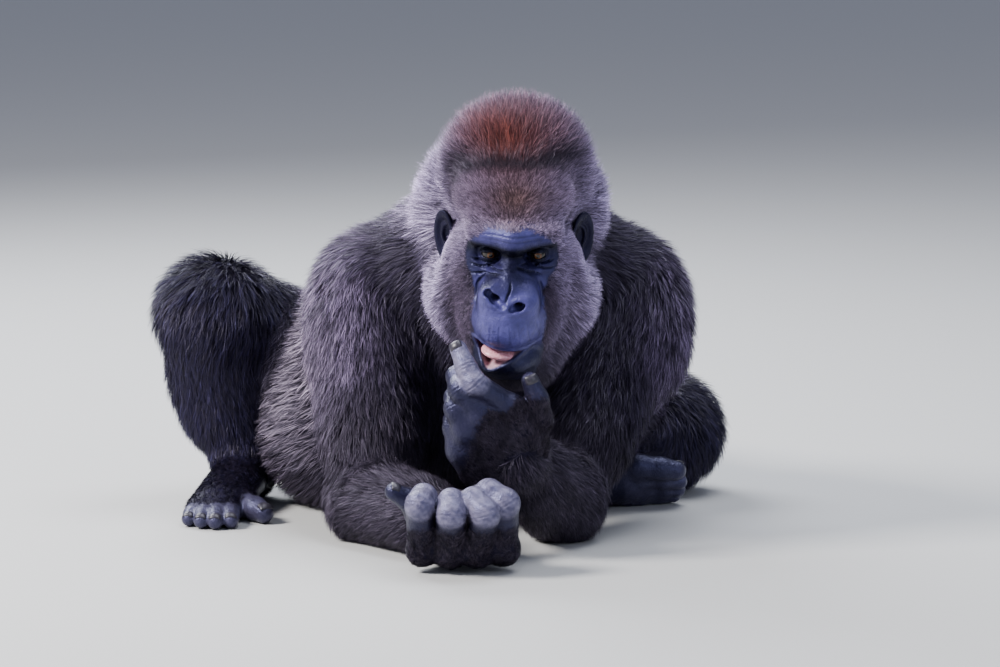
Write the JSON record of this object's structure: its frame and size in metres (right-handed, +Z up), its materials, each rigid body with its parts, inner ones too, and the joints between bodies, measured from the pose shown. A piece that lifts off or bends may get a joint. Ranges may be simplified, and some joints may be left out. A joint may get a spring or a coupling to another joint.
{
  "type": "gorilla figure",
  "caption": "Life-size still gorilla crouched on its belly and elbows, one hand raised to its open mouth, the other palm up on the ground.",
  "frame": {"origin": "on the flat under the belly, at floor level, near the middle of the body", "axes": "+Z up, the face looks along -Y, +X is the animal's own left"},
  "size_m": [0.8734, 0.9724, 0.6468],
  "materials": {
    "coat": "black hair, grizzled grey-brown on the arms, back and flanks",
    "coat_head": "short hair, reddish brown on the crown and grey-brown on the cheeks",
    "skin": "bare slate-black skin, slightly glossy",
    "pads": "bare grey-lilac knuckle pads with fine creases",
    "mouth": "wet pink tongue and gums",
    "eye": "wet eyeball with an amber-brown iris"
  },
  "bodies": {
    "root": {"ear_left": "skin", "ear_right": "skin", "eye_left": "eye", "eye_right": "eye", "foot_left": "skin", "foot_right": "skin", "forearm_left": "coat", "forearm_right": "coat", "hand_left": "skin", "hand_right": "skin", "head": "coat_head", "index_finger_left": "pads", "index_finger_right": "pads", "little_finger_left": "pads", "little_finger_right": "pads", "middle_finger_left": "pads", "middle_finger_right": "pads", "neck": "coat", "ring_finger_left": "pads", "ring_finger_right": "pads", "shin_left": "coat", "shin_right": "coat", "thigh_left": "coat", "thigh_right": "coat", "thumb_left": "pads", "thumb_right": "pads", "toe_1_left": "skin", "toe_1_right": "skin", "toe_2_left": "skin", "toe_2_right": "skin", "toe_3_left": "skin", "toe_3_right": "skin", "toe_4_left": "skin", "toe_4_right": "skin", "toe_5_left": "skin", "toe_5_right": "skin", "tongue": "mouth", "trunk": "coat", "upper_arm_left": "coat", "upper_arm_right": "coat"}
  },
  "joints": []
}
